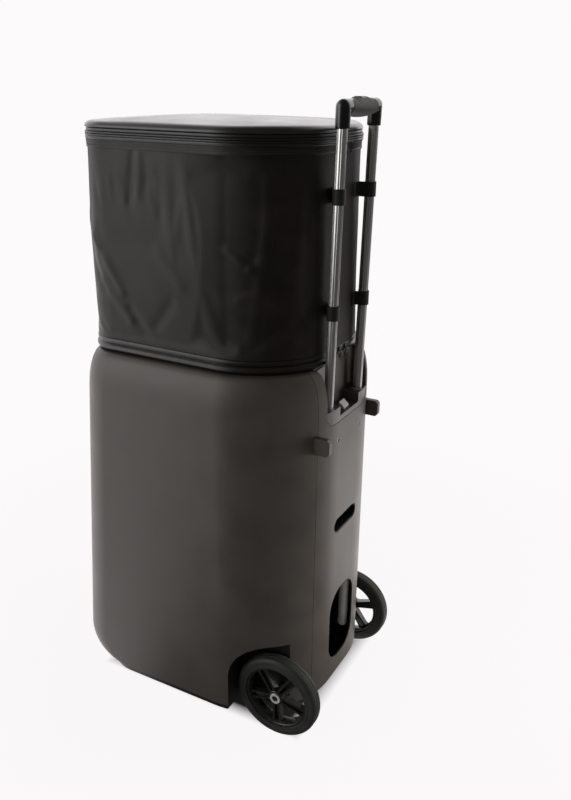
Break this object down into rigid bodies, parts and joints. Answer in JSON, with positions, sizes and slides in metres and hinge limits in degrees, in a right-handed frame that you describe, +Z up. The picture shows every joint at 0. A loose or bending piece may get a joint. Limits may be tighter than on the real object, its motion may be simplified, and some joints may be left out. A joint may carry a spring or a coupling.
{
  "type": "ball machine",
  "caption": "Wheeled ball-throwing machine: moulded body, telescopic pull handle, zipped fabric ball hopper, rotary feeder and tilting twin-wheel launcher.",
  "frame": {"origin": "on the floor under the middle of the overall box", "axes": "+Z up, -Y towards the handle and ball exit, +X to the right seen from the handle side looking along +Y"},
  "size_m": [0.421, 0.56, 1.1847],
  "materials": {
    "moulded_shell": "fine moulded texture",
    "black_plastic": "fine moulded texture",
    "grey_plastic": "smooth moulded",
    "tray_plastic": "smooth moulded",
    "rubber_feet": "moulded rubber",
    "tyre_rubber": "moulded rubber",
    "satin_alloy": "satin anodised",
    "grip_plastic": "semi-gloss moulded",
    "steel": "zinc plated",
    "bright_trim": "polished",
    "throw_rubber": "cast urethane",
    "battery_case": "moulded case",
    "circuit_board": "solder mask",
    "hopper_fabric": "woven polyester",
    "hopper_binding": "piped coated binding",
    "lid_pad": "moulded foam with coated fabric",
    "webbing": "woven webbing"
  },
  "bodies": {
    "machine": {"body_shell": "moulded_shell", "front_panel": "moulded_shell", "base_plate": "black_plastic", "rear_foot_left": "rubber_feet", "rear_foot_right": "rubber_feet", "rest_lug_left": "moulded_shell", "rest_lug_right": "moulded_shell", "handle_socket": "black_plastic", "latch_cover": "grey_plastic", "sleeve_left": "satin_alloy", "sleeve_right": "satin_alloy", "axle": "steel", "axle_bracket_left": "steel", "axle_bracket_right": "steel", "hand_hold_cup": "black_plastic", "hopper_tray": "tray_plastic", "feeder_motor": "steel", "drop_tube": "tray_plastic", "feed_ramp": "tray_plastic", "launcher_bracket_left": "steel", "launcher_bracket_right": "steel", "tilt_motor": "black_plastic", "battery": "battery_case", "control_board": "circuit_board", "control_panel": "black_plastic", "charge_inlet": "black_plastic", "hopper_base_band": "hopper_binding", "hopper_wall": "hopper_fabric", "hopper_rim": "hopper_binding", "lid_hinge_tape": "webbing", "strap_upper_left": "webbing", "strap_upper_right": "webbing", "strap_lower_left": "webbing", "strap_lower_right": "webbing", "zip_sliders": "steel", "lid_zip_sliders": "steel", "panel_screws": "steel", "base_screws": "steel"},
    "wheel_left": {"wheel_rim_left": "black_plastic", "tyre_left": "tyre_rubber", "hub_cap_left": "bright_trim"},
    "wheel_right": {"wheel_rim_right": "black_plastic", "tyre_right": "tyre_rubber", "hub_cap_right": "bright_trim"},
    "handle": {"handle_tube_left": "satin_alloy", "handle_tube_right": "satin_alloy", "handle_grip": "grip_plastic"},
    "button": {"release_button": "grip_plastic"},
    "lid": {"hopper_lid": "lid_pad", "lid_rim": "hopper_binding"},
    "feeder": {"feeder_disc": "grey_plastic"},
    "launcher": {"launcher_frame": "steel", "throw_motor_left": "steel", "throw_motor_right": "steel"},
    "throw_left": {"throw_wheel_left": "throw_rubber"},
    "throw_right": {"throw_wheel_right": "throw_rubber"},
    "rocker": {"power_rocker": "grip_plastic"},
    "speed": {"speed_dial": "grip_plastic"},
    "feed": {"feed_dial": "grip_plastic"}
  },
  "joints": [
    {"name": "left_wheel_spin", "type": "hinge", "parent": "machine", "child": "wheel_left", "pos_m": [-0.17025, -0.19296, 0.087], "axis": [1, 0, 0], "continuous": true},
    {"name": "right_wheel_spin", "type": "hinge", "parent": "machine", "child": "wheel_right", "pos_m": [0.17025, -0.19296, 0.087], "axis": [1, 0, 0], "continuous": true},
    {"name": "handle_slide", "type": "slide", "parent": "machine", "child": "handle", "axis": [0, -0.0187, 0.9998], "range_m": [-0.28, 0], "deforming": ["strap_upper_left", "strap_upper_right", "strap_lower_left", "strap_lower_right"]},
    {"name": "button_press", "type": "slide", "parent": "handle", "child": "button", "axis": [0, -0.0187, 0.9998], "range_m": [-0.003, 0], "stiffness_N_per_m": 900},
    {"name": "lid_hinge", "type": "hinge", "parent": "machine", "child": "lid", "pos_m": [0, 0.22284, 1.11965], "axis": [-1, 0, 0], "range_deg": [0, 180], "deforming": ["lid_hinge_tape"]},
    {"name": "feeder_spin", "type": "hinge", "parent": "machine", "child": "feeder", "pos_m": [0, 0.00604, 0.675], "axis": [0, 0, 1], "continuous": true},
    {"name": "launcher_tilt", "type": "hinge", "parent": "machine", "child": "launcher", "pos_m": [0, -0.06396, 0.172], "axis": [-1, 0, 0], "range_deg": [-8, 11]},
    {"name": "left_throw_spin", "type": "hinge", "parent": "launcher", "child": "throw_left", "pos_m": [-0.078, -0.06396, 0.172], "axis": [0, 0, 1], "continuous": true},
    {"name": "right_throw_spin", "type": "hinge", "parent": "launcher", "child": "throw_right", "pos_m": [0.078, -0.06396, 0.172], "axis": [0, 0, 1], "continuous": true},
    {"name": "power_switch", "type": "hinge", "parent": "machine", "child": "rocker", "pos_m": [-0.058, 0.23012, 0.53], "axis": [1, 0, 0], "range_deg": [-8, 8]},
    {"name": "speed_turn", "type": "hinge", "parent": "machine", "child": "speed", "pos_m": [-0.01, 0.23012, 0.53], "axis": [0, 1, 0], "range_deg": [-140, 140]},
    {"name": "feed_turn", "type": "hinge", "parent": "machine", "child": "feed", "pos_m": [0.034, 0.23012, 0.53], "axis": [0, 1, 0], "range_deg": [-140, 140]}
  ]
}
